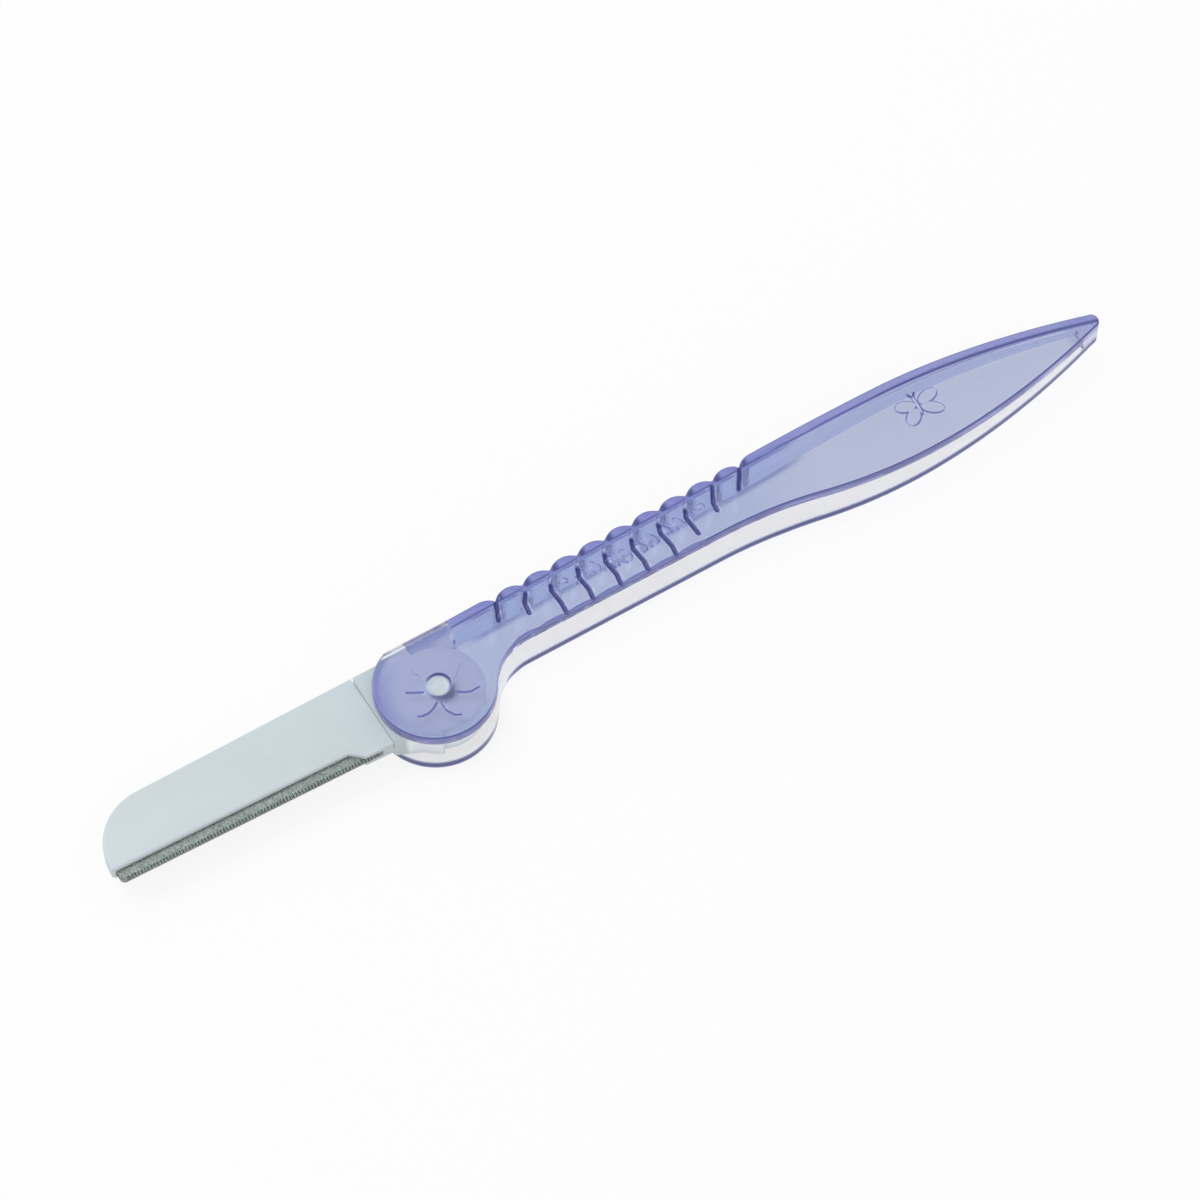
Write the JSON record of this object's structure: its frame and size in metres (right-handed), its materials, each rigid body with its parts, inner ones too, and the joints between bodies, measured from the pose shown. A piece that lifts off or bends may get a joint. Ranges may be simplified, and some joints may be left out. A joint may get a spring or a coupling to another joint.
{
  "type": "eyebrow razor",
  "caption": "Folding eyebrow razor, open: a clear blue-tinted slotted handle with a scalloped finger grip, and a white blade head with a combed metal guard on a pivot pin.",
  "frame": {"origin": "on the pivot axis, in the plane of the handle's rear face, on which the razor lies", "axes": "+X from the pivot to the handle's tail, +Y to the handle's back (the blade's edge and the slot's mouth face -Y), +Z through the front cheek along the pivot axis"},
  "size_m": [0.1589, 0.0176, 0.0082],
  "materials": {
    "handle": "clear, tinted periwinkle blue",
    "pivot_pin": "smooth, white",
    "blade_carrier": "satin, white",
    "blade_cover": "satin, white",
    "razor_blade": "ground",
    "skin_guard": "dull, stamped"
  },
  "bodies": {
    "handle": {"handle": "handle", "pivot_pin": "pivot_pin"},
    "blade_head": {"blade_carrier": "blade_carrier", "blade_cover": "blade_cover", "razor_blade": "razor_blade", "skin_guard": "skin_guard"}
  },
  "joints": [
    {"name": "blade_fold", "type": "hinge", "parent": "handle", "child": "blade_head", "pos_m": [0, 0, 0.004], "axis": [0, 0, 1], "range_deg": [0, 180]}
  ]
}
